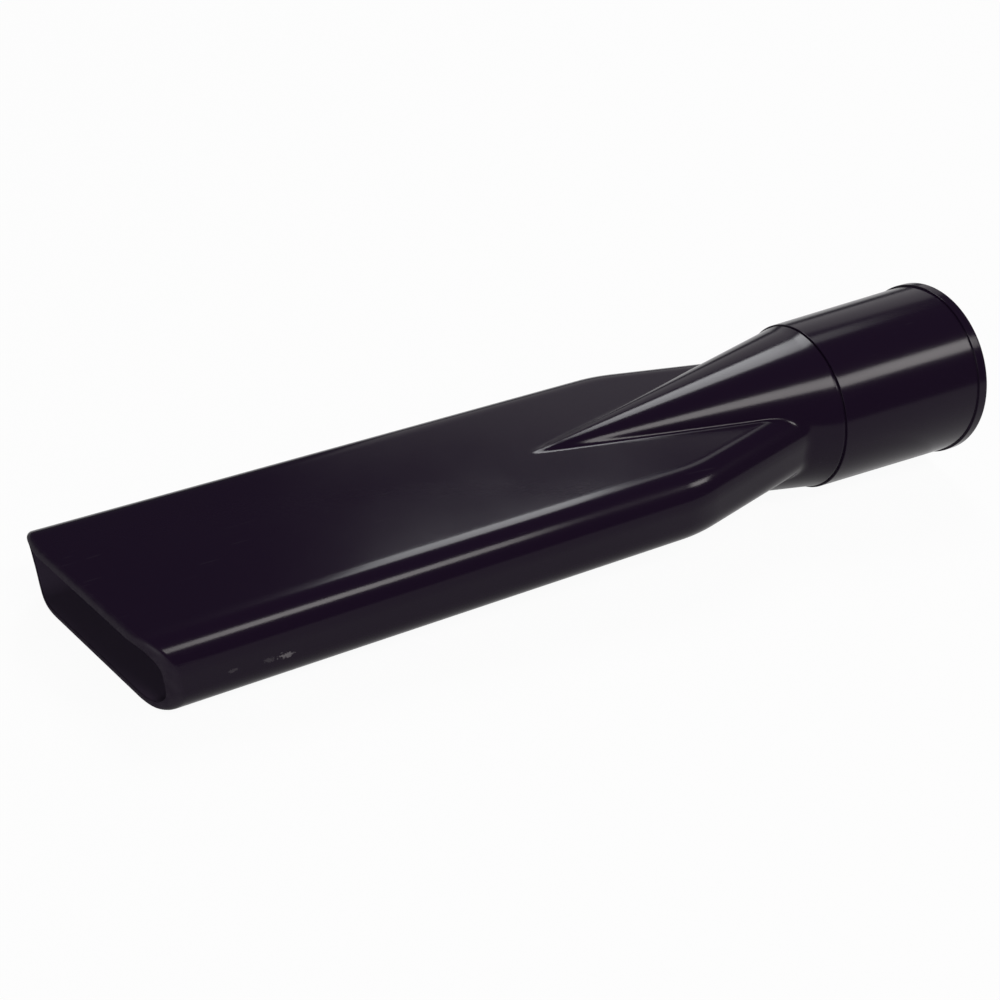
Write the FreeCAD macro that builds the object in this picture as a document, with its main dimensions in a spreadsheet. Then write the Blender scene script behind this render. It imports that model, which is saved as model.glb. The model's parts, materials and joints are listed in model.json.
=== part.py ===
# Vacuum crevice tool: one moulded piece, an open duct from a round hose socket to a flat slanted mouth.
# It is drawn with its axis along X and the middle of the mouth at the origin, and then laid down the way
# it comes to rest, on the lower edge of the mouth and on the collar. Millimetres and degrees.
import FreeCAD, Part
import math
import os
import Sketcher

Vector = FreeCAD.Vector

# Driving dimensions: name, value, what it measures. Positions are taken from the middle of the mouth.
DIMENSIONS = [
    ("lance_width", 55.2, "outer width of the flat lance"),
    ("lance_height", 18.9, "outer height of the flat lance"),
    ("edge_radius", 7.4, "outer radius of the lance's four long edges"),
    ("wall", 2.3, "wall of the lance and the cones"),
    ("mouth_slant", 17.0, "slant of the mouth, seen from above"),
    ("mouth_end_radius", 26.0, "radius that rounds off both ends of the mouth, seen from above"),
    ("mouth_end_setback", 3.6, "how far the rounded ends fall back from the slanted edge at the sides"),
    ("lip_land", 0.9, "flat that is left on the end of the lip"),
    ("cut_clearance", 0.5, "room that the mouth's cut has beside the lance"),
    ("knee_position", 133.5, "where the sides start to turn in towards the collar"),
    ("neck_inset", 5.0, "how far the sides have run inside the cones at the collar"),
    ("cone_tip_position", 101.8, "where the cones start below the flats"),
    ("cone_tip_sink", 0.45, "how far the cones' tips lie below the flats"),
    ("cone_overrun", 6.0, "how far the cones run on before they are cut off at the collar"),
    ("collar_position", 178.0, "face of the collar's step"),
    ("collar_length", 42.5, "collar, from its step to the open end"),
    ("collar_step", 0.4, "how far the collar's root stands out of the cones"),
    ("collar_wall", 3.0, "wall round the socket at the open end"),
    ("bead_length", 2.6, "length of the bead round the open end"),
    ("bead_height", 0.45, "how far the bead stands out of the collar"),
    ("socket_radius", 19.0, "radius of the bore that takes the hose end"),
    ("stop_ledge", 0.6, "ledge at the bottom of the bore, the end of the cones, which stops the hose end"),
]

# Sizes that follow from the driving dimensions.
CONE_RADIUS = "(sizes.socket_radius - sizes.stop_ledge + sizes.wall)"
ROOT_RADIUS = "(%s + sizes.collar_step)" % CONE_RADIUS
FLARE_RADIUS = "(sizes.socket_radius + sizes.collar_wall)"
BEAD_RADIUS = "(%s + sizes.bead_height)" % FLARE_RADIUS
COLLAR_END = "(sizes.collar_position + sizes.collar_length)"
BEAD_START = "(%s - sizes.bead_length)" % COLLAR_END
CONE_END = "(sizes.collar_position + sizes.cone_overrun)"
NECK_WIDTH = "(2 * (%s - sizes.neck_inset))" % CONE_RADIUS
MOUTH_LEAD = "(tan(sizes.mouth_slant * 1 deg) * sizes.lance_width / 2)"

# How near to a shape a point counts as lying on it.
TOUCH = 1e-4

doc = FreeCAD.newDocument("crevice_tool")
sheet = doc.addObject("Spreadsheet::Sheet", "sizes")
for row, (name, value, meaning) in enumerate(DIMENSIONS, start=1):
    sheet.set("A%d" % row, name)
    sheet.set("B%d" % row, str(value))
    sheet.set("C%d" % row, meaning)
    sheet.setAlias("B%d" % row, name)
doc.recompute()

body = doc.addObject("PartDesign::Body", "crevice_tool")
body.Label = "crevice_tool"


def number(expression):
    """Present value of an expression."""
    result = sheet.evalExpression(expression)
    return float(getattr(result, "Value", result))


def plane(role):
    """One of the body's own planes."""
    return next(item for item in body.Origin.OriginFeatures if item.Role == role)


def new_sketch(name, role, offset="0"):
    """Sketch on one of the body's planes, moved along its normal by an expression."""
    sketch = body.newObject("Sketcher::SketchObject", name)
    sketch.AttachmentSupport = [(plane(role), "")]
    sketch.MapMode = "FlatFace"
    sketch.setExpression("AttachmentOffset.Base.z", offset)
    return sketch


def constrain(sketch, *arguments):
    return sketch.addConstraint(Sketcher.Constraint(*arguments))


def drive(sketch, name, expression, *arguments):
    """Dimension of a sketch, bound to an expression; the arguments say what it measures."""
    start = number(expression)
    if arguments[0] == "Angle":
        start = math.radians(start)
    index = constrain(sketch, *arguments, start)
    sketch.renameConstraint(index, name)
    sketch.setExpression("Constraints." + name, expression)


def add_line(sketch, begin, end):
    return sketch.addGeometry(Part.LineSegment(Vector(*begin), Vector(*end)), False)


def add_arc(sketch, centre, radius, begin, end):
    """Arc that turns anticlockwise from one angle to another, in radians."""
    circle = Part.Circle(Vector(*centre), Vector(0, 0, 1), radius)
    return sketch.addGeometry(Part.ArcOfCircle(circle, begin, end), False)


def add_feature(kind, name, cuts, expressions=(), **properties):
    """Feature of the body that has to take material away, or else to add some."""
    before = body.Shape.Volume if body.Tip else 0.0
    feature = body.newObject("PartDesign::" + kind, name)
    for key, value in properties.items():
        setattr(feature, key, value)
    for key, expression in expressions:
        feature.setExpression(key, expression)
    body.Tip = feature
    doc.recompute()
    if feature.Shape.isNull() or (feature.Shape.Volume < before) != cuts:
        raise RuntimeError(name + " didn't change the solid as it should")
    return feature


def half_section(name, offset, width, height, edge_radius):
    """Upper half of the section across the lance: a rectangle on the axis with its upper corners rounded."""
    sketch = new_sketch(name, "YZ_Plane", offset)
    side = number(width) / 2
    top = number(height) / 2
    radius = number(edge_radius)
    turn = math.pi / 2
    roof = add_line(sketch, (radius - side, top), (side - radius, top))
    right_edge = add_arc(sketch, (side - radius, top - radius), radius, 0, turn)
    right_side = add_line(sketch, (side, top - radius), (side, 0))
    base = add_line(sketch, (side, 0), (-side, 0))
    left_side = add_line(sketch, (-side, 0), (-side, top - radius))
    left_edge = add_arc(sketch, (radius - side, top - radius), radius, turn, 2 * turn)
    constrain(sketch, "Tangent", roof, 2, right_edge, 2)
    constrain(sketch, "Tangent", right_edge, 1, right_side, 1)
    constrain(sketch, "Coincident", right_side, 2, base, 1)
    constrain(sketch, "Coincident", base, 2, left_side, 1)
    constrain(sketch, "Tangent", left_side, 2, left_edge, 2)
    constrain(sketch, "Tangent", left_edge, 1, roof, 1)
    constrain(sketch, "Horizontal", roof)
    constrain(sketch, "Vertical", right_side)
    constrain(sketch, "Vertical", left_side)
    constrain(sketch, "PointOnObject", base, 1, -1)
    constrain(sketch, "Symmetric", base, 1, base, 2, -1, 1)
    constrain(sketch, "Equal", right_edge, left_edge)
    drive(sketch, "half_width", width + " / 2", "DistanceX", -1, 1, base, 1)
    drive(sketch, "half_height", height + " / 2", "DistanceY", -1, 1, roof, 2)
    drive(sketch, "edge_radius", edge_radius, "Radius", right_edge)
    return sketch


def cone_profile(name, inset):
    """Half of a cone along its tilted axis, from a tip below the flat to past the collar's step.

    Its upper and lower side lines meet the step at the cones' radius above and below the tool's axis.
    """
    sketch = new_sketch(name, "XZ_Plane")
    tip_height = "(sizes.lance_height / 2 - sizes.cone_tip_sink - %s)" % inset
    base_radius = "(%s - %s)" % (CONE_RADIUS, inset)
    run = "(sizes.collar_position - sizes.cone_tip_position)"
    rise = "atan((%s - %s) / %s)" % (base_radius, tip_height, run)
    fall = "atan((%s + %s) / %s)" % (base_radius, tip_height, run)
    tilt = "((%s - %s) / 2)" % (rise, fall)
    tip = Vector(number("sizes.cone_tip_position"), number(tip_height))
    along = Vector(1, math.tan(math.radians(number(tilt))))
    axis_end = tip + along * (number(CONE_END) - tip.x)
    half_angle = math.radians(number(rise) - number(tilt))
    reach = Vector(-along.y, along.x) * ((number(CONE_END) - tip.x) * math.tan(half_angle))
    axis = add_line(sketch, tip, axis_end)
    base = add_line(sketch, axis_end, axis_end + reach)
    side = add_line(sketch, tip, axis_end + reach)
    constrain(sketch, "Coincident", axis, 1, side, 1)
    constrain(sketch, "Coincident", axis, 2, base, 1)
    constrain(sketch, "Coincident", base, 2, side, 2)
    constrain(sketch, "Perpendicular", axis, base)
    drive(sketch, "tip_place", "sizes.cone_tip_position", "DistanceX", -1, 1, axis, 1)
    drive(sketch, "tip_height", tip_height, "DistanceY", -1, 1, axis, 1)
    drive(sketch, "tilt", tilt, "Angle", axis)
    drive(sketch, "rise", rise, "Angle", side)
    drive(sketch, "end", CONE_END, "DistanceX", -1, 1, axis, 2)
    return sketch


def flow_path(prefix, inset, cuts):
    """Upper half of the lance, its tapering sides and the cone, drawn in by an inset; added, or cut out."""
    kinds = ("Pocket", "SubtractiveLoft", "Groove") if cuts else ("Pad", "AdditiveLoft", "Revolution")
    straight, tapered, turned = kinds
    height = "(sizes.lance_height - 2 * %s)" % inset
    edge_radius = "(sizes.edge_radius - %s)" % inset
    knee = half_section(prefix + "knee", "sizes.knee_position", "(sizes.lance_width - 2 * %s)" % inset,
                        height, edge_radius)
    neck = half_section(prefix + "neck", "sizes.collar_position", "(%s - 2 * %s)" % (NECK_WIDTH, inset),
                        height, edge_radius)
    # A pad leaves its sketch along the axis and a pocket goes back from it, and both have to reach the mouth.
    lance = add_feature(straight, prefix + "lance", cuts, [("Length", "sizes.knee_position + " + MOUTH_LEAD)],
                        Profile=knee, Reversed=not cuts)
    add_feature(tapered, prefix + "sides", cuts, Profile=knee, Sections=[neck], Ruled=True)
    profile = cone_profile(prefix + "cone_profile", inset)
    add_feature(turned, prefix + "cone", cuts, Profile=profile, ReferenceAxis=(profile, ["Edge1"]))
    return lance


def polygon(name, role, corners):
    """Closed sketch of straight lines; each corner is a pair of expressions, across and up from the origin."""
    sketch = new_sketch(name, role)
    points = [(number(across), number(up)) for across, up in corners]
    for begin, end in zip(points, points[1:] + points[:1]):
        add_line(sketch, begin, end)
    for index in range(len(corners)):
        constrain(sketch, "Coincident", index - 1 if index else len(corners) - 1, 2, index, 1)
    for direction, axis, level in (("DistanceX", -2, "Vertical"), ("DistanceY", -1, "Horizontal")):
        for index, corner in enumerate(corners):
            expression = corner[0 if direction == "DistanceX" else 1]
            before = corners[index - 1][0 if direction == "DistanceX" else 1]
            label = "%s_%d" % (direction, index)
            if expression == before:
                constrain(sketch, level, index - 1 if index else len(corners) - 1)
            elif expression == "0":
                constrain(sketch, "PointOnObject", index, 1, axis)
            elif number(expression) > 0:
                drive(sketch, label, expression, direction, -1, 1, index, 1)
            else:
                drive(sketch, label, "-" + expression, direction, index, 1, -1, 1)
    return sketch


# Upper half of the lance and of the cone: first the skin, then the duct inside it.
flow_path("", "0", False)
duct = flow_path("duct_", "sizes.wall", True)

# What the cone has below the middle, and past the collar's step, is cut off.
CUT_START = "(-%s - sizes.cut_clearance)" % MOUTH_LEAD
CUT_END = "(%s + sizes.cone_overrun)" % CONE_END
CUT_REACH = "(%s + sizes.cone_overrun)" % ROOT_RADIUS
half_trim = polygon("half_trim", "XZ_Plane", [
    (CUT_START, "0"), ("sizes.collar_position", "0"), ("sizes.collar_position", CUT_REACH),
    (CUT_END, CUT_REACH), (CUT_END, "(-%s)" % CUT_REACH), (CUT_START, "(-%s)" % CUT_REACH),
])
add_feature("Pocket", "half", True, Profile=half_trim, Type="ThroughAll", Midplane=True)

# Both faces of the tool are the same.
add_feature("Mirrored", "both_halves", False, MirrorPlane=(plane("XY_Plane"), [""]), TransformMode="Whole shape")

# Collar: a slightly flared tube with a step towards the cones and a bead round its open end. Its bore takes
# the hose end, up to the end of the cones.
collar_profile = polygon("collar_profile", "XZ_Plane", [
    ("sizes.collar_position", "sizes.socket_radius"), ("sizes.collar_position", ROOT_RADIUS),
    (BEAD_START, FLARE_RADIUS), (BEAD_START, BEAD_RADIUS), (COLLAR_END, BEAD_RADIUS),
    (COLLAR_END, "sizes.socket_radius"),
])
add_feature("Revolution", "collar", False, Profile=collar_profile, ReferenceAxis=(collar_profile, ["H_Axis"]))


def mouth_cut_sketch():
    """What is cut off the lance, seen from above: up to a slanted edge that falls back at both ends."""
    sketch = new_sketch("mouth_cut", "XY_Plane")
    slant = math.radians(number("sizes.mouth_slant"))
    along = Vector(-math.sin(slant), math.cos(slant))
    inward = Vector(math.cos(slant), math.sin(slant))
    radius = number("sizes.mouth_end_radius")
    beside = "(sizes.lance_width / 2 + sizes.cut_clearance)"
    before = "(%s + sizes.cut_clearance)" % MOUTH_LEAD
    far_fall = "(sizes.mouth_end_setback - %s)" % MOUTH_LEAD
    near_fall = "(sizes.mouth_end_setback + %s)" % MOUTH_LEAD
    far_corner = Vector(number(far_fall), number(beside))
    near_corner = Vector(number(near_fall), -number(beside))
    far_back = Vector(-number(before), number(beside))
    near_back = Vector(-number(before), -number(beside))

    def end_round(corner, sign):
        """Arc that leaves the slanted edge and ends at a corner: where it leaves, and its centre."""
        depth = corner.dot(inward)
        run = math.sqrt(2 * radius * depth - depth ** 2)
        touch = along * (corner.dot(along) - sign * run)
        return touch, touch + inward * radius

    def angle(centre, point):
        offset = point - centre
        return math.atan2(offset.y, offset.x) % (2 * math.pi)

    far_touch, far_centre = end_round(far_corner, 1)
    near_touch, near_centre = end_round(near_corner, -1)
    far_line = add_line(sketch, far_back, far_corner)
    far_arc = add_arc(sketch, far_centre, radius, angle(far_centre, far_corner), angle(far_centre, far_touch))
    edge = add_line(sketch, far_touch, near_touch)
    near_arc = add_arc(sketch, near_centre, radius, angle(near_centre, near_touch), angle(near_centre, near_corner))
    near_line = add_line(sketch, near_corner, near_back)
    back_line = add_line(sketch, near_back, far_back)

    constrain(sketch, "Coincident", far_line, 2, far_arc, 1)
    constrain(sketch, "Tangent", far_arc, 2, edge, 1)
    constrain(sketch, "Tangent", edge, 2, near_arc, 1)
    constrain(sketch, "Coincident", near_arc, 2, near_line, 1)
    constrain(sketch, "Coincident", near_line, 2, back_line, 1)
    constrain(sketch, "Coincident", back_line, 2, far_line, 1)
    constrain(sketch, "Horizontal", far_line)
    constrain(sketch, "Horizontal", near_line)
    constrain(sketch, "Vertical", back_line)
    constrain(sketch, "PointOnObject", -1, 1, edge)
    constrain(sketch, "Equal", far_arc, near_arc)
    drive(sketch, "slant", "(sizes.mouth_slant - 90) * 1 deg", "Angle", edge)
    drive(sketch, "end_radius", "sizes.mouth_end_radius", "Radius", far_arc)
    drive(sketch, "far_side", beside, "DistanceY", -1, 1, far_line, 1)
    drive(sketch, "near_side", beside, "DistanceY", near_line, 2, -1, 1)
    drive(sketch, "before", before, "DistanceX", far_line, 1, -1, 1)
    drive(sketch, "far_fall", far_fall, "DistanceX", -1, 1, far_arc, 1)
    drive(sketch, "near_fall", near_fall, "DistanceX", -1, 1, near_arc, 2)
    return sketch


# Mouth: cut slanted, with both ends falling back.
mouth = add_feature("Pocket", "mouth_edge", True, Profile=mouth_cut_sketch(), Type="ThroughAll", Midplane=True)


def edge_names(shape, wanted):
    """Names of the edges of a shape whose middle passes a test."""
    names = []
    for index, edge in enumerate(shape.Edges, start=1):
        middle = edge.valueAt((edge.FirstParameter + edge.LastParameter) / 2)
        if wanted(edge, middle):
            names.append("Edge%d" % index)
    return names


def cutter(feature):
    """What a feature takes away, in the body's frame."""
    shape = feature.AddSubShape.copy()
    shape.Placement = feature.Placement * shape.Placement
    return shape


mouth_cutter = cutter(mouth)
duct_cutter = cutter(duct)


def on_lip(edge, middle):
    """Outer edge of the mouth: on the cut, and nearer to the skin than to the duct."""
    spot = Part.Vertex(Vector(middle.x, middle.y, abs(middle.z)))
    from_duct = duct_cutter.distToShape(spot)[0]
    return mouth_cutter.distToShape(spot)[0] < TOUCH and from_duct > number("sizes.wall / 2") + TOUCH


def ring_of(radius):
    def is_ring(edge, middle):
        return isinstance(edge.Curve, Part.Circle) and abs(edge.Curve.Radius - number(radius)) < TOUCH
    return is_ring


# Broken edges: the lip is rounded, the bead and the collar's step are chamfered.
lip = add_feature("Fillet", "lip", True, [("Radius", "sizes.wall - sizes.lip_land")],
                  Base=(mouth, edge_names(mouth.Shape, on_lip)))
bead = add_feature("Chamfer", "bead_edges", True, [("Size", "sizes.bead_height / 2")],
                   Base=(lip, edge_names(lip.Shape, ring_of(BEAD_RADIUS))))
step = add_feature("Chamfer", "step_edge", True, [("Size", "sizes.collar_step / 2")],
                   Base=(bead, edge_names(bead.Shape, ring_of(ROOT_RADIUS))))

# At rest the floor touches the slanted lower edge of the mouth and the root of the collar.
rise = (number(ROOT_RADIUS) - number("sizes.lance_height / 2")) / number("sizes.collar_position")
floor_normal = Vector(rise, rise * math.tan(math.radians(number("sizes.mouth_slant"))), 1)
body.Placement = FreeCAD.Placement(Vector(), FreeCAD.Rotation(floor_normal, Vector(0, 0, 1)))
doc.recompute()
bounds = body.Shape.optimalBoundingBox(False)
body.Placement.Base = -Vector(bounds.Center.x, bounds.Center.y, bounds.ZMin)
doc.recompute()

for item in doc.Objects:
    if "Invalid" in item.State or "Error" in item.State:
        raise RuntimeError(item.Name + " failed")
if body.Shape.isNull() or not body.Shape.isValid() or len(body.Shape.Solids) != 1:
    raise RuntimeError(body.Label + " isn't one valid solid")
os.makedirs("parts", exist_ok=True)
body.Shape.exportStep("parts/%s.step" % body.Label)
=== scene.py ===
"""Vacuum crevice tool: the moulded shell in scuffed black plastic, on a white stage.

The shell is one closed skin, from the lip of the mouth over the outside to the open end of the collar,
and back through the socket and the duct. It is worked out along the tool's own axis, with the middle of
the mouth at the origin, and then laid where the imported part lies. Metres.
"""
import json
import math

import bpy
import numpy as np
from bpy.props import FloatProperty, FloatVectorProperty, PointerProperty
from mathutils import Euler, Matrix, Vector


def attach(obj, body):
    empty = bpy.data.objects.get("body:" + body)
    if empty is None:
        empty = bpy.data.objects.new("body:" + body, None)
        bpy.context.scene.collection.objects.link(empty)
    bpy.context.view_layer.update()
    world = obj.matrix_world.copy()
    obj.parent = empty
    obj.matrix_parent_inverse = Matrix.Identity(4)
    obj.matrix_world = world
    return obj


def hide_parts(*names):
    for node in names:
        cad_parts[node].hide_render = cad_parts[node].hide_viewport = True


bl_info = {
    "name": "Vacuum crevice tool",
    "version": (1, 0, 0),
    "blender": (4, 5, 0),
    "location": "3D View > Sidebar > Crevice tool",
    "description": "Builds the shell of a vacuum crevice tool and the stage that it lies on",
    "category": "Object",
}

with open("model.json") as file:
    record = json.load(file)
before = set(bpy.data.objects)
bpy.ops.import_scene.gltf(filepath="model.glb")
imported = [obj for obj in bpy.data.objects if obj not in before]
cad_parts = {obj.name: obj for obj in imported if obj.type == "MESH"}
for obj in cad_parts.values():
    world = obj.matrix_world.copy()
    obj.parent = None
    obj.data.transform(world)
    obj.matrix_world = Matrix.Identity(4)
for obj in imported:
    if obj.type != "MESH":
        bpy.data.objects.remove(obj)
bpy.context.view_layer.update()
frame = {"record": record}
SOCKET = frame["record"]["mounts"][0]

# How finely the skin is divided: steps round each long edge, across each flat and up each side.
ARC_STEPS = 14
FLAT_STEPS = 90
SIDE_STEPS = 8
# Steps in a rounded edge, and rows along the parts of the tool.
ROUND_STEPS = 5
LANCE_ROWS = 16
CONE_ROWS = 140
DUCT_ROWS = 44
# Where the lance's rows end and the cones' rows start, before the cones' tips, in metres.
LANCE_ROWS_GAP = 0.002
CONE_ROWS_GAP = 0.0015
# How the lance's rows crowd towards the mouth, and how many roundings behind it the first row lies.
LANCE_ROWS_POWER = 1.6
FIRST_ROW_OUTSIDE = 1.15
FIRST_ROW_INSIDE = 1.4
# Extra rows beside each turned corner, as a share of its rounding, keep the shading of the faces flat.
GUARD_SHARE = 0.4
# The valley's rounding starts small at the cones' tips and grows along them.
VALLEY_START = 0.0002
VALLEY_GROWTH = 0.1
# Rounds in which the mouth's edge is worked out.
MOUTH_ROUNDS = 12
# Keeps divisors off zero.
TINY = 1e-9
# The skin counts as flat, with the full grain, where it leans less than this from the flats, as a cosine.
FLAT_LEAN = 0.9995
# Edges that turn more than this are shaded sharp.
SHARP_ANGLE = math.radians(50)

# Scales of the noises in the plastic, per metre.
CLOUD_SCALE = 45.0
PATCH_SCALE = 70.0
WEAR_SCALE = 420.0
GRAIN_SCALE = 2000.0
SCUFF_SCALE = 2200.0
SCRATCH_SCALE = (40.0, 1500.0, 1500.0)
# How strongly scratches show, and how much rougher dust, rubbing and marks make the plastic.
SCRATCH_STRENGTH = 0.06
DULL_ROUGHNESS = 0.65
MARK_ROUGHNESS = 0.3
# Strength of the moulding grain, and the share of it that is left off the flats.
GRAIN_STRENGTH = 0.6
SMOOTH_GRAIN = 0.1
# Half sizes of the scuffs along, across and up, and how strongly the two faint ones show.
LONG_SCUFF_SIZE = (0.0017, 0.001, 0.0008)
SHORT_SCUFF_SIZE = (0.0010, 0.001, 0.0008)
FRONT_SCUFF_SIZE = (0.0011, 0.001, 0.0005)
FAINT_SCUFF = 0.25
# Sockets of the colour mixing node.
MIX_FACTOR = 0
MIX_FIRST = 6
MIX_SECOND = 7
MIX_RESULT = 2

# Half the floor's side in metres, and its roughness.
FLOOR_REACH = 12.0
FLOOR_ROUGHNESS = 0.9
# Even light of the room.
ROOM_COLOUR = (0.9, 0.95, 1.0, 1.0)
ROOM_STRENGTH = 0.08
# The camera's sensor in millimetres, and the nearest distance that it sees in metres.
SENSOR_WIDTH = 36.0
NEAR_CLIP = 0.01
# Plain white and tinted whites of the floor and the lamps.
WHITE = (1.0, 1.0, 1.0)
WARM_WHITE = (1.0, 0.96, 0.95)
ROSE_WHITE = (1.0, 0.97, 0.98)
COOL_WHITE = (0.97, 0.98, 1.0)
# Lamps: name, place, direction of the long side, size, power in watts and colour.
LAMPS = (
    ("front_window", (0.21, -0.868, 1.205), (0.99, 0.083, -0.116), (0.52, 0.34), 8.8, WARM_WHITE),
    ("side_window", (0.855, -0.747, 0.981), (0.821, 0.342, -0.457), (0.31, 0.28), 4.2, WARM_WHITE),
    ("back_window", (0.402, 0.776, 1.225), (0.15, 0.8705, -0.4905), (0.59, 0.34), 8.9, COOL_WHITE),
    ("back_pane", (0.69, 0.666, 1.1535), (0.888, -0.23, -0.398), (0.36, 0.26), 0.72, WHITE),
    ("back_wall", (1.0, 1.56, 0.8), (0.84, -0.54, 0.0), (1.25, 1.0), 3.1, ROSE_WHITE),
    ("broad_lamp", (-1.2, -0.7, 0.5), (0.5, -0.86, 0.0), (1.0, 0.8), 9.6, WHITE),
)


def length(name, description, default):
    return FloatProperty(name=name, description=description, default=default, min=0.0,
                         unit="LENGTH", precision=5)


def share(name, description, default):
    return FloatProperty(name=name, description=description, default=default, min=0.0, max=1.0,
                         subtype="FACTOR")


def colour(name, description, default):
    return FloatVectorProperty(name=name, description=description, default=default, size=3,
                               min=0.0, max=1.0, subtype="COLOR")


def spot(name, description, default):
    return FloatVectorProperty(name=name, description=description, default=default, size=3,
                               subtype="TRANSLATION", precision=4)


class CreviceToolShape(bpy.types.PropertyGroup):
    """Sizes of the moulding"""
    lance_width: length("Lance width", "Outer width of the flat lance", 0.0552)
    lance_height: length("Lance height", "Outer height of the flat lance", 0.0189)
    edge_radius: length("Edge radius", "Outer radius of the lance's long edges", 0.0074)
    wall: length("Wall", "Wall of the lance and the cones", 0.0023)
    mouth_slant: FloatProperty(name="Mouth slant", description="Slant of the mouth, seen from above",
                               default=math.radians(17.0), subtype="ANGLE")
    mouth_end_radius: length("Mouth end radius", "Rounding of both ends of the mouth, from above", 0.026)
    mouth_end_setback: length("Mouth end setback", "How far the rounded ends fall back", 0.0036)
    mouth_clearance: length("Mouth clearance", "How far beside the lance the ends are measured", 0.0005)
    lip_round: length("Lip rounding", "Outer rounding of the mouth's lip", 0.0014)
    rim_round: length("Rim rounding", "Inner rounding of the mouth's lip", 0.0003)
    knee_position: length("Knee position", "Where the sides start to turn in", 0.1335)
    knee_round: length("Knee rounding", "How softly the sides turn at the knee", 0.0012)
    neck_inset: length("Neck inset", "How far the sides have run inside the cones at the collar", 0.005)
    cone_tip_position: length("Cone tip position", "Where the cones start", 0.1018)
    cone_tip_sink: length("Cone tip sink", "How far the cones' tips lie below the flats", 0.00045)
    valley_round: length("Valley rounding", "Rounding where the cones leave the flats", 0.0007)
    collar_position: length("Collar position", "Face of the collar's step", 0.178)
    collar_step: length("Collar step", "How far the collar's root stands out of the cones", 0.0004)
    collar_wall: length("Collar wall", "Wall round the socket at the open end", 0.003)
    stop_ledge: length("Stop ledge", "Ledge at the bottom of the socket", 0.0006)
    bead_length: length("Bead length", "Length of the bead round the open end", 0.0026)
    bead_height: length("Bead height", "How far the bead stands out of the collar", 0.00045)
    edge_break: length("Edge break", "Rounding of the collar's edges", 0.0002)
    groove_width: length("Groove width", "Width of the shadow groove before the collar", 0.0004)
    groove_depth: length("Groove depth", "Depth of the shadow groove before the collar", 0.0002)
    smooth_edge: length("Smooth edge", "Width of the edge along each flat that has little grain", 0.0008)


class CreviceToolFinish(bpy.types.PropertyGroup):
    """Colours and gloss of the plastic"""
    plastic: colour("Plastic", "Colour of the plastic", (0.0088, 0.0041, 0.0125))
    # Scratch and rubbing colour; on the lip and rim it is also a painted highlight, standing in for the
    # glint along the mouth's edge.
    rubbed_and_painted_glint: colour("Rubbed", "Colour of fine scratches and rubbed edges", (0.10, 0.09, 0.105))
    # The duct's dust colour is painted lighter than dust alone: painted light standing in for the light
    # that reaches inside the duct.
    dust_and_painted_light: colour("Dusty", "Colour of the duct, dulled by dust", (0.040, 0.029, 0.049))
    scuffed: colour("Scuffed", "Colour of the scuffs on the near side", (0.115, 0.105, 0.115))
    flat_roughness: share("Flat roughness", "Roughness of the flats, under their grain", 0.135)
    smooth_roughness: share("Smooth roughness", "Roughness of the edges, the cones and the collar", 0.15)
    reflection: share("Reflection", "How strongly the plastic mirrors; 0.5 is plain plastic", 0.125)
    grain_depth: length("Grain depth", "Depth of the moulding grain", 0.000009)
    long_scuff: spot("Long scuff", "Middle of the long scuff", (-0.0741, -0.0276, 0.0103))
    short_scuff: spot("Short scuff", "Middle of the short scuff", (-0.0776, -0.0276, 0.0102))
    front_scuff: spot("Front scuff", "Middle of the scuff near the mouth", (-0.0850, -0.0276, 0.0100))


class CreviceToolStage(bpy.types.PropertyGroup):
    """Camera and light"""
    camera_location: FloatVectorProperty(
        name="Camera location", description="Where the camera stands",
        default=(-0.13569, -0.22752, 0.1866), subtype="TRANSLATION")
    camera_turn: FloatVectorProperty(
        name="Camera turn", description="How the camera is turned",
        default=(math.radians(56.311), math.radians(-2.4464), math.radians(-26.7929)), subtype="EULER")
    camera_lens: FloatProperty(
        name="Camera lens", description="Focal length in millimetres", default=48.504)
    floor_colour: colour("Floor colour", "Colour of the floor", (0.62, 0.62, 0.62))
    floor_white: share("Floor white", "How much of the floor is seen as plain white", 0.95)
    floor_mirrored: share("Floor mirrored", "How much of the floor is mirrored as plain white", 0.4)


def soft_max(first, second, size):
    """Larger of two values, rounded over where they are nearer to each other than a size."""
    near = np.maximum(size - np.abs(first - second), 0.0) / np.maximum(size, TINY)
    return np.maximum(first, second) + near ** 2 * size / 4


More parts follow.
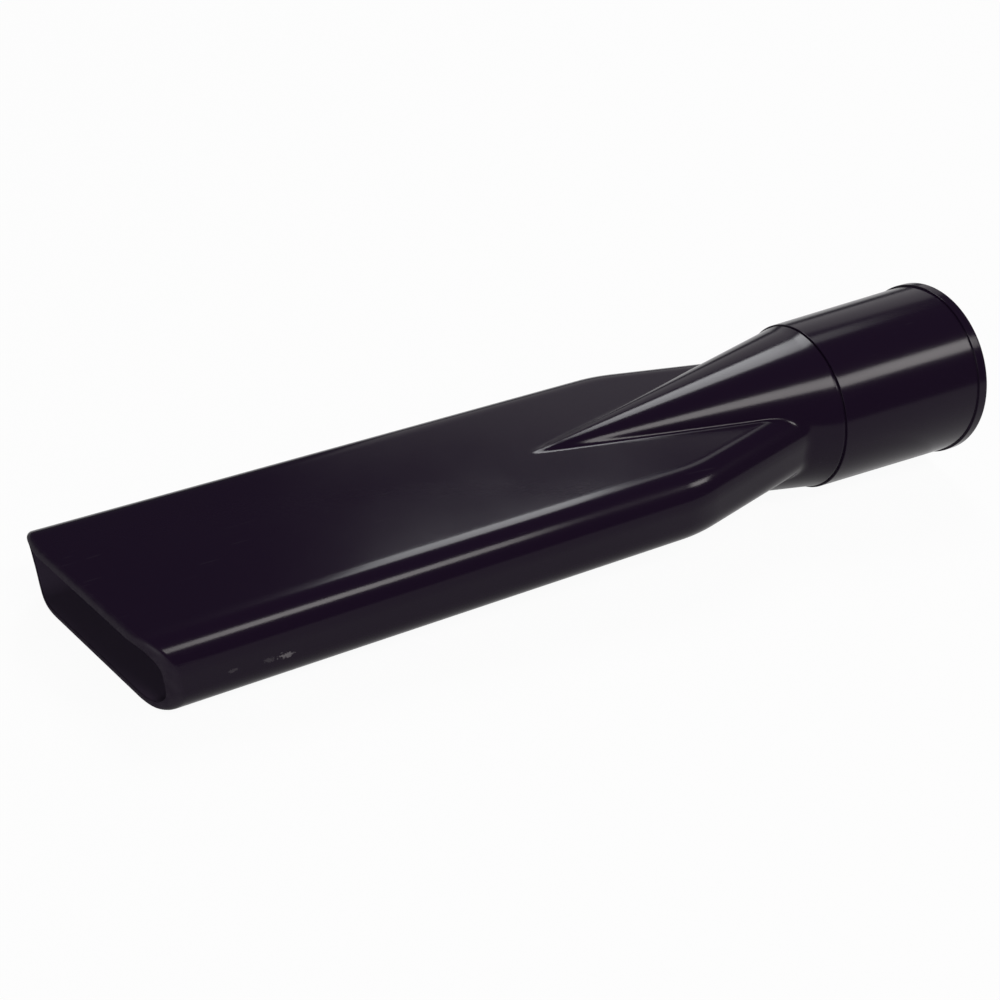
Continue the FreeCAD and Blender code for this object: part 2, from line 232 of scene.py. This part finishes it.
class Moulding:
    """Skin of the tool along its own axis, from the sizes of the shape."""

    def __init__(self, shape):
        self.shape = shape
        self.socket_radius = SOCKET["dims"]["r_mm"] / 1000
        self.collar_length = SOCKET["dims"]["length_mm"] / 1000
        self.cone_radius = self.socket_radius - shape.stop_ledge + shape.wall
        self.root_radius = self.cone_radius + shape.collar_step
        self.flare_radius = self.socket_radius + shape.collar_wall
        self.bead_radius = self.flare_radius + shape.bead_height
        self.collar_end = shape.collar_position + self.collar_length
        self.cores, self.normals = self.section_columns()

    def section_columns(self):
        """Centres of curvature and outward normals round the lance's section, from one side on."""
        shape = self.shape
        across = shape.lance_width / 2 - shape.edge_radius
        up = shape.lance_height / 2 - shape.edge_radius
        corners = [(across, up), (-across, up), (-across, -up), (across, -up)]
        cores = []
        normals = []
        for index, corner in enumerate(corners):
            following = corners[(index + 1) % len(corners)]
            for step in range(ARC_STEPS):
                angle = math.pi / 2 * (index + step / ARC_STEPS)
                cores.append(corner)
                normals.append((math.cos(angle), math.sin(angle)))
            steps = SIDE_STEPS if index % 2 else FLAT_STEPS
            angle = math.pi / 2 * (index + 1)
            for step in range(steps):
                cores.append(np.array(corner) + (np.array(following) - np.array(corner)) * step / steps)
                normals.append((math.cos(angle), math.sin(angle)))
        return np.array(cores), np.array(normals)

    def lance_points(self, inset):
        """Section of the lance, drawn in by an inset: across and up from the axis."""
        return self.cores + (self.shape.edge_radius - inset) * self.normals

    def mouth_edge(self, across):
        """How far along the axis the mouth's edge lies: a slanted line whose ends fall back on arcs."""
        shape = self.shape
        slant_sin = math.sin(shape.mouth_slant)
        slant_cos = math.cos(shape.mouth_slant)
        radius = shape.mouth_end_radius
        lead = math.tan(shape.mouth_slant) * shape.lance_width / 2
        beside = shape.lance_width / 2 + shape.mouth_clearance

        def end_fall(run, side):
            """Depth behind the slanted line at one end of the mouth."""
            corner_along = shape.mouth_end_setback - side * lead
            depth = corner_along * slant_cos + side * beside * slant_sin
            corner_run = beside * slant_cos - side * corner_along * slant_sin
            arc_run = math.sqrt(2 * radius * depth - depth ** 2)
            past = np.clip(run - corner_run + arc_run, 0.0, radius)
            return radius - np.sqrt(radius ** 2 - past ** 2)

        run = across / slant_cos
        for _ in range(MOUTH_ROUNDS):
            depth = end_fall(run, 1) + end_fall(-run, -1)
            run = (across - depth * slant_sin) / slant_cos
        return depth * slant_cos - run * slant_sin

    def lance_reach(self, rays, along, inset):
        """Distance from the axis to the lance and its tapering sides, along rays across the axis."""
        shape = self.shape
        neck = self.cone_radius - shape.neck_inset
        run = shape.collar_position - shape.knee_position
        drawn_in = (shape.lance_width / 2 - neck) * (along - shape.knee_position) / run
        half_width = shape.lance_width / 2 - soft_max(0.0, drawn_in, shape.knee_round) - inset
        half_height = shape.lance_height / 2 - inset
        radius = shape.edge_radius - inset
        across, up = np.maximum(np.abs(rays), TINY).T
        flat_across = half_width - radius
        flat_up = half_height - radius
        towards = across * flat_across + up * flat_up
        beyond = np.maximum(towards ** 2 - flat_across ** 2 - flat_up ** 2 + radius ** 2, 0.0)
        round_reach = towards + np.sqrt(beyond)
        on_flat = half_height / up * across <= flat_across
        on_side = half_width / across * up <= flat_up
        beside = np.where(on_side, half_width / across, round_reach)
        return np.where(on_flat, half_height / up, beside)

    def cone_reach(self, rays, along, inset, side):
        """Distance from the axis to the far skin of the upper or lower cone, or 0 where a ray misses it."""
        shape = self.shape
        tip = shape.lance_height / 2 - shape.cone_tip_sink - inset
        base = self.cone_radius - inset
        run = shape.collar_position - shape.cone_tip_position
        rise = math.atan((base - tip) / run)
        fall = math.atan((base + tip) / run)
        tilt = (rise - fall) / 2
        spread = math.tan((rise + fall) / 2) ** 2
        past = along - shape.cone_tip_position
        across = rays[:, 0]
        up = rays[:, 1] * side
        axial = past * math.cos(tilt) - tip * math.sin(tilt)
        axial_slope = up * math.sin(tilt)
        radial = -past * math.sin(tilt) - tip * math.cos(tilt)
        radial_slope = up * math.cos(tilt)
        square = axial_slope ** 2 * spread - across ** 2 - radial_slope ** 2
        linear = axial * axial_slope * spread - radial * radial_slope
        constant = axial ** 2 * spread - radial ** 2
        root = np.sqrt(np.maximum(linear ** 2 - square * constant, 0.0))
        reach = (-linear - root) / square
        ahead = (axial + axial_slope * reach > 0) & (reach > 0)
        return np.where((linear ** 2 > square * constant) & ahead, reach, 0.0)

    def path_ring(self, rays, along, inset):
        """Ring of the flow path: the lance with both cones standing out of it."""
        shape = self.shape
        past = max(along - shape.cone_tip_position, 0.0)
        size = min(shape.valley_round, VALLEY_START + VALLEY_GROWTH * past)
        upper = self.cone_reach(rays, along, inset, 1)
        lower = self.cone_reach(rays, along, inset, -1)
        cones = soft_max(upper, lower, size)
        reach = soft_max(self.lance_reach(rays, along, inset), cones, size)
        return np.column_stack([np.full(len(rays), along), rays * reach[:, None]])

    def lip_ring(self, inset, behind):
        """Ring near the mouth, drawn in by an inset and lying behind the mouth's edge."""
        points = self.lance_points(inset)
        return np.column_stack([self.mouth_edge(points[:, 0]) + behind, points])

    def rays(self, inset):
        """Directions from the axis to the columns of the lance's section."""
        points = self.lance_points(inset)
        return points / np.linalg.norm(points, axis=1)[:, None]

    def lance_rings(self, inset, behind, front_first):
        """Rings of the straight lance, from just behind the mouth to where the cones start."""
        back = self.shape.cone_tip_position - LANCE_ROWS_GAP
        front = self.lip_ring(inset, behind)
        shares = np.linspace(0.0, 1.0, LANCE_ROWS) ** LANCE_ROWS_POWER
        rings = []
        for part in shares:
            ring = front.copy()
            ring[:, 0] += (back - ring[:, 0]) * part
            rings.append(ring)
        return rings if front_first else rings[::-1]

    def turned_rings(self, corners, rays):
        """Rings of a turned profile; each corner is a place, a radius and how far it is rounded."""
        rows = []
        for before, corner, after in zip(corners, corners[1:], corners[2:]):
            place = np.array(corner[:2])
            back = np.array(before[:2]) - place
            on = np.array(after[:2]) - place
            rounding = corner[2]
            start = place + back / np.linalg.norm(back) * rounding
            end = place + on / np.linalg.norm(on) * rounding
            rows.append(start + (start - place) * GUARD_SHARE)
            for step in range(ROUND_STEPS + 1):
                part = step / ROUND_STEPS
                rows.append((1 - part) ** 2 * start + 2 * part * (1 - part) * place + part ** 2 * end)
            rows.append(end + (end - place) * GUARD_SHARE)
        return [np.column_stack([np.full(len(rays), along), rays * radius])
                for along, radius in rows]

    def collar_rings(self, rays):
        """Rings of the groove, the collar, its bead and the socket, with broken edges."""
        shape = self.shape
        groove_start = shape.collar_position - shape.groove_width
        groove_floor = self.cone_radius - shape.groove_depth
        bead_start = self.collar_end - shape.bead_length
        return self.turned_rings([
            (groove_start, groove_floor, 0.0),
            (shape.collar_position, groove_floor, shape.edge_break * 0.3),
            (shape.collar_position, self.root_radius, shape.edge_break * 0.7),
            (bead_start, self.flare_radius, shape.edge_break * 0.5),
            (bead_start, self.bead_radius, shape.edge_break),
            (self.collar_end, self.bead_radius, shape.edge_break * 2),
            (self.collar_end, self.socket_radius, shape.edge_break * 2),
            (shape.collar_position, self.socket_radius, shape.edge_break),
            (shape.collar_position, self.cone_radius - shape.wall, 0.0),
        ], rays)

    def rings(self):
        """All rings of the closed skin; how much each one is rubbed, with a painted highlight on the lip
        and rim; and how much it is dusty and painted lighter inside the duct.
        """
        shape = self.shape
        outer_rays = self.rays(0.0)
        inner_rays = self.rays(shape.wall)
        quarter = np.linspace(math.pi / 2, 0.0, ROUND_STEPS + 2)
        lip = [self.lip_ring(shape.lip_round * (1 - math.cos(turn)),
                             shape.lip_round * (1 - math.sin(turn))) for turn in quarter]
        lance = self.lance_rings(0.0, shape.lip_round * FIRST_ROW_OUTSIDE, True)
        cone_start = shape.cone_tip_position - CONE_ROWS_GAP
        cone_end = shape.collar_position - shape.groove_width
        cone_places = np.linspace(cone_start, cone_end, CONE_ROWS)
        cones = [self.path_ring(outer_rays, along, 0.0) for along in cone_places]
        collar = self.collar_rings(outer_rays)
        duct_places = np.linspace(shape.collar_position, cone_start, DUCT_ROWS)
        duct = [self.path_ring(inner_rays, along, shape.wall) for along in duct_places]
        inner_lance = self.lance_rings(shape.wall, shape.rim_round * FIRST_ROW_INSIDE, False)
        rim = [self.lip_ring(shape.wall - shape.rim_round * (1 - math.cos(turn)),
                             shape.rim_round * (1 - math.sin(turn))) for turn in quarter[::-1]]
        outside = lance + cones + collar
        inside = duct + inner_lance
        # The lip and rim rows get rubbing and a painted highlight along the mouth's edge.
        lip_rubbed_and_painted_glint = list(np.linspace(1.0, 0.0, len(lip)))
        rubbed_and_painted_glint = lip_rubbed_and_painted_glint + [0.0] * len(outside + inside) + [1.0] * len(rim)
        # The duct's rows get dust and painted light, which lightens the inside.
        dust_and_painted_light = [0.0] * len(lip + outside) + [1.0] * len(inside) + [0.0] * len(rim)
        return lip + outside + inside + rim, rubbed_and_painted_glint, dust_and_painted_light


def resting_place(moulding):
    """Turn and shift from the tool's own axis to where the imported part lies."""
    shape = moulding.shape
    rise = (moulding.root_radius - shape.lance_height / 2) / shape.collar_position
    floor_normal = Vector((rise, rise * math.tan(shape.mouth_slant), 1.0))
    turn = floor_normal.rotation_difference(Vector((0.0, 0.0, 1.0))).to_matrix()
    socket_middle = Vector((moulding.collar_end - moulding.collar_length / 2, 0.0, 0.0))
    return turn, Vector(SOCKET["pos_m"]) - turn @ socket_middle


def shell_mesh(moulding):
    """Closed mesh of quads through all rings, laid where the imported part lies."""
    rings, rubbed_and_painted_glint, dust_and_painted_light = moulding.rings()
    columns = len(rings[0])
    turn, shift = resting_place(moulding)
    own_points = np.concatenate(rings)
    points = own_points @ np.array(turn).T + np.array(shift)
    faces = []
    for row in range(len(rings)):
        here = row * columns
        there = (row + 1) % len(rings) * columns
        for column in range(columns):
            beside = (column + 1) % columns
            faces.append((here + column, here + beside, there + beside, there + column))
    mesh = bpy.data.meshes.new("tool_shell")
    mesh.from_pydata(points.tolist(), [], faces)
    for name, amounts in (("rubbed_and_painted_glint", rubbed_and_painted_glint), ("dust_and_painted_light", dust_and_painted_light)):
        wear = mesh.attributes.new(name, "FLOAT", "POINT")
        wear.data.foreach_set("value", np.repeat(amounts, columns).astype(np.float32))
    mesh.shade_smooth()
    mesh.set_sharp_from_angle(angle=SHARP_ANGLE)
    normals = np.empty(len(points) * 3, dtype=np.float32)
    mesh.vertex_normals.foreach_get("vector", normals)
    upright = np.abs(normals.reshape(-1, 3) @ np.array(turn)[:, 2])
    level = np.clip((upright - FLAT_LEAN) / (1 - FLAT_LEAN) * 2, 0.0, 1.0)
    shape = moulding.shape
    flat_edge = shape.lance_width / 2 - shape.edge_radius - shape.smooth_edge
    within = flat_edge - np.abs(own_points[:, 1])
    inside = np.clip(within / shape.smooth_edge * 2 + 1, 0.0, 1.0)
    flat = mesh.attributes.new("flat", "FLOAT", "POINT")
    flat.data.foreach_set("value", (level * inside).astype(np.float32))
    return mesh


class NodeTree:
    """Short words for building a material's nodes."""

    def __init__(self, tree):
        self.tree = tree

    def add(self, kind, values=(), **settings):
        node = self.tree.nodes.new("ShaderNode" + kind)
        for key, value in settings.items():
            setattr(node, key, value)
        for socket, value in dict(values).items():
            self.feed(node.inputs[socket], value)
        return node

    def feed(self, socket, value):
        if isinstance(value, bpy.types.NodeSocket):
            self.tree.links.new(value, socket)
        else:
            socket.default_value = value

    def math(self, operation, first, second=0.0):
        return self.add("Math", {0: first, 1: second}, operation=operation).outputs[0]

    def fade(self, value, start, end, low=0.0, high=1.0):
        return self.add("MapRange", {"Value": value, "From Min": start, "From Max": end, "To Min": low,
                                     "To Max": high}, interpolation_type="SMOOTHSTEP").outputs[0]

    def noise(self, vector, scale, detail=2.0, roughness=0.5):
        return self.add("TexNoise", {"Vector": vector, "Scale": scale, "Detail": detail,
                                     "Roughness": roughness}).outputs["Fac"]

    def mix(self, factor, first, second):
        node = self.add("Mix", data_type="RGBA")
        self.feed(node.inputs[MIX_FACTOR], factor)
        self.feed(node.inputs[MIX_FIRST], first)
        self.feed(node.inputs[MIX_SECOND], second)
        return node.outputs[MIX_RESULT]

    def vector(self, operation, first, second=(0.0, 0.0, 0.0)):
        return self.add("VectorMath", {0: first, 1: second}, operation=operation).outputs

    def attribute(self, name):
        node = self.add("Attribute", attribute_name=name, attribute_type="GEOMETRY")
        return node.outputs["Fac"]


def scuff_mask(nodes, position, middle, size):
    """Ragged spot round a place on the skin, from one in its middle to nothing."""
    away = nodes.vector("SUBTRACT", position, middle)["Vector"]
    scaled = nodes.vector("MULTIPLY", away, tuple(1 / part for part in size))["Vector"]
    distance = nodes.vector("LENGTH", scaled)["Value"]
    raggedness = nodes.fade(nodes.noise(position, SCUFF_SCALE, 3.0, 0.7), 0.3, 0.7, -0.5, 0.5)
    return nodes.fade(nodes.math("ADD", distance, raggedness), 1.0, 0.6)


def black_plastic(finish):
    """Moulded black plastic: smooth, with grained flats, fine scratches along it, a few scuffs, a painted
    highlight in the rubbing of the lip and rim, and painted light in the duct's dust.
    """
    material = bpy.data.materials.new("black_plastic")
    material.use_nodes = True
    nodes = NodeTree(material.node_tree)
    shader = material.node_tree.nodes["Principled BSDF"]
    position = nodes.add("TexCoord").outputs["Object"]
    flat = nodes.attribute("flat")
    rubbed_and_painted_glint = nodes.attribute("rubbed_and_painted_glint")
    dust_and_painted_light = nodes.attribute("dust_and_painted_light")

    cloud = nodes.noise(position, CLOUD_SCALE, 3.0, 0.55)
    uneven = nodes.fade(cloud, 0.3, 0.7, -0.008, 0.012)
    base_roughness = nodes.fade(flat, 0.0, 1.0, finish.smooth_roughness, finish.flat_roughness)
    dull = nodes.math("MULTIPLY", nodes.math("MAXIMUM", dust_and_painted_light, rubbed_and_painted_glint), DULL_ROUGHNESS)
    roughness = nodes.math("ADD", nodes.math("ADD", base_roughness, uneven), dull)

    lengthwise = nodes.add("Mapping", {"Vector": position, "Scale": SCRATCH_SCALE}).outputs[0]
    scratch = nodes.fade(nodes.noise(lengthwise, 1.0, 2.0, 0.5), 0.66, 0.74)
    patch = nodes.fade(nodes.noise(position, PATCH_SCALE, 1.0), 0.55, 0.65)
    scratches = nodes.math("MULTIPLY", nodes.math("MULTIPLY", scratch, patch), SCRATCH_STRENGTH)
    # Rubbing on the lip and rim, painted lighter: partly wear, partly a painted highlight along the mouth's
    # edge.
    wear = nodes.fade(nodes.noise(position, WEAR_SCALE, 3.0, 0.6), 0.3, 0.7, 0.03, 0.12)
    marks = nodes.math("MAXIMUM", scratches, nodes.math("MULTIPLY", rubbed_and_painted_glint, wear))
    # Dust tint of the duct, painted lighter: partly dust, partly painted light inside the duct.
    tint = nodes.mix(dust_and_painted_light, (*finish.plastic, 1.0), (*finish.dust_and_painted_light, 1.0))
    tint = nodes.mix(marks, tint, (*finish.rubbed_and_painted_glint, 1.0))

    scuffs = 0.0
    for middle, size, strength in ((finish.long_scuff, LONG_SCUFF_SIZE, 1.0),
                                   (finish.short_scuff, SHORT_SCUFF_SIZE, FAINT_SCUFF),
                                   (finish.front_scuff, FRONT_SCUFF_SIZE, FAINT_SCUFF)):
        mask = nodes.math("MULTIPLY", scuff_mask(nodes, position, middle, size), strength)
        scuffs = nodes.math("MAXIMUM", mask, scuffs)
    tint = nodes.mix(scuffs, tint, (*finish.scuffed, 1.0))
    scuffing = nodes.math("MULTIPLY", nodes.math("MAXIMUM", marks, scuffs), MARK_ROUGHNESS)
    roughness = nodes.math("ADD", roughness, scuffing)

    grain = nodes.noise(position, GRAIN_SCALE, 2.0, 0.6)
    height = nodes.math("MULTIPLY", grain, nodes.fade(flat, 0.0, 1.0, SMOOTH_GRAIN, 1.0))
    bump = nodes.add("Bump", {"Height": height, "Distance": finish.grain_depth,
                              "Strength": GRAIN_STRENGTH})
    nodes.feed(shader.inputs["Base Color"], tint)
    nodes.feed(shader.inputs["Roughness"], roughness)
    nodes.feed(shader.inputs["Normal"], bump.outputs["Normal"])
    shader.inputs["Specular IOR Level"].default_value = finish.reflection
    return material


class CREVICETOOL_OT_shell(bpy.types.Operator):
    """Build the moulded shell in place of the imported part"""
    bl_idname = "crevice_tool.shell"
    bl_label = "Build shell"

    def execute(self, context):
        moulding = Moulding(context.scene.crevice_tool_shape)
        shell = bpy.data.objects.new("tool_shell", shell_mesh(moulding))
        context.scene.collection.objects.link(shell)
        shell.data.materials.append(black_plastic(context.scene.crevice_tool_finish))
        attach(shell, "root")
        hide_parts("crevice_tool")
        return {"FINISHED"}


def white_floor(stage):
    """Pale floor with the tool's shadow, nearly plain white to the camera and partly so in reflections."""
    material = bpy.data.materials.new("white_floor")
    material.use_nodes = True
    nodes = NodeTree(material.node_tree)
    shader = material.node_tree.nodes["Principled BSDF"]
    output = material.node_tree.nodes["Material Output"]
    shader.inputs["Base Color"].default_value = (*stage.floor_colour, 1.0)
    shader.inputs["Roughness"].default_value = FLOOR_ROUGHNESS
    shader.inputs["Specular IOR Level"].default_value = 0.0
    rays = nodes.add("LightPath").outputs
    mirrored = nodes.math("MAXIMUM", rays["Is Glossy Ray"], rays["Is Transmission Ray"])
    seen = nodes.math("MULTIPLY", rays["Is Camera Ray"], stage.floor_white)
    seen = nodes.math("MAXIMUM", seen, nodes.math("MULTIPLY", mirrored, stage.floor_mirrored))
    white = nodes.add("Emission", {"Color": (*WHITE, 1.0), "Strength": 1.0}).outputs[0]
    mixed = nodes.add("MixShader", {0: seen, 1: shader.outputs[0], 2: white})
    nodes.feed(output.inputs["Surface"], mixed.outputs[0])
    return material


def softbox(scene, name, place, along, size, power, tint):
    """Rectangular lamp that faces the tool, with its long side as near as can be to a direction."""
    lamp = bpy.data.lights.new(name, "AREA")
    lamp.shape = "RECTANGLE"
    lamp.size, lamp.size_y = size
    lamp.energy = power
    lamp.color = tint
    backward = Vector(place).normalized()
    upward = backward.cross(Vector(along)).normalized()
    axes = Matrix((upward.cross(backward), upward, backward)).transposed()
    holder = bpy.data.objects.new(name, lamp)
    holder.location = place
    holder.rotation_euler = axes.to_euler()
    scene.collection.objects.link(holder)


class CREVICETOOL_OT_stage(bpy.types.Operator):
    """Set up the floor, the light and the camera"""
    bl_idname = "crevice_tool.stage"
    bl_label = "Set stage"

    def execute(self, context):
        scene = context.scene
        stage = scene.crevice_tool_stage
        floor_mesh = bpy.data.meshes.new("floor")
        corners = [(-FLOOR_REACH, -FLOOR_REACH, 0), (FLOOR_REACH, -FLOOR_REACH, 0),
                   (FLOOR_REACH, FLOOR_REACH, 0), (-FLOOR_REACH, FLOOR_REACH, 0)]
        floor_mesh.from_pydata(corners, [], [(0, 1, 2, 3)])
        floor_mesh.materials.append(white_floor(stage))
        floor = bpy.data.objects.new("floor", floor_mesh)
        scene.collection.objects.link(floor)

        for lamp in LAMPS:
            softbox(scene, *lamp)

        world = bpy.data.worlds.new("dim_room")
        world.use_nodes = True
        sky = world.node_tree.nodes["Background"]
        sky.inputs["Color"].default_value = ROOM_COLOUR
        sky.inputs["Strength"].default_value = ROOM_STRENGTH
        scene.world = world
        scene.view_settings.view_transform = "Standard"

        camera_data = bpy.data.cameras.new("camera")
        camera_data.sensor_width = SENSOR_WIDTH
        camera_data.lens = stage.camera_lens
        camera_data.clip_start = NEAR_CLIP
        camera = bpy.data.objects.new("camera", camera_data)
        camera.location = stage.camera_location
        camera.rotation_euler = Euler(stage.camera_turn)
        scene.collection.objects.link(camera)
        scene.camera = camera
        return {"FINISHED"}


class CREVICETOOL_PT_panel(bpy.types.Panel):
    """Sidebar panel of the crevice tool"""
    bl_idname = "CREVICETOOL_PT_panel"
    bl_label = "Crevice tool"
    bl_space_type = "VIEW_3D"
    bl_region_type = "UI"
    bl_category = "Crevice tool"

    def draw(self, context):
        column = self.layout.column()
        for group in (context.scene.crevice_tool_shape, context.scene.crevice_tool_finish,
                      context.scene.crevice_tool_stage):
            for name in group.__annotations__:
                column.prop(group, name)
        for operator in (CREVICETOOL_OT_shell, CREVICETOOL_OT_stage):
            column.operator(operator.bl_idname)


CLASSES = (CreviceToolShape, CreviceToolFinish, CreviceToolStage,
           CREVICETOOL_OT_shell, CREVICETOOL_OT_stage, CREVICETOOL_PT_panel)


def register():
    for item in CLASSES:
        bpy.utils.register_class(item)
    bpy.types.Scene.crevice_tool_shape = PointerProperty(type=CreviceToolShape)
    bpy.types.Scene.crevice_tool_finish = PointerProperty(type=CreviceToolFinish)
    bpy.types.Scene.crevice_tool_stage = PointerProperty(type=CreviceToolStage)


def unregister():
    del bpy.types.Scene.crevice_tool_stage
    del bpy.types.Scene.crevice_tool_finish
    del bpy.types.Scene.crevice_tool_shape
    for item in reversed(CLASSES):
        bpy.utils.unregister_class(item)


def main():
    register()
    bpy.ops.crevice_tool.shell()
    bpy.ops.crevice_tool.stage()


if __name__ == "__main__":
    main()
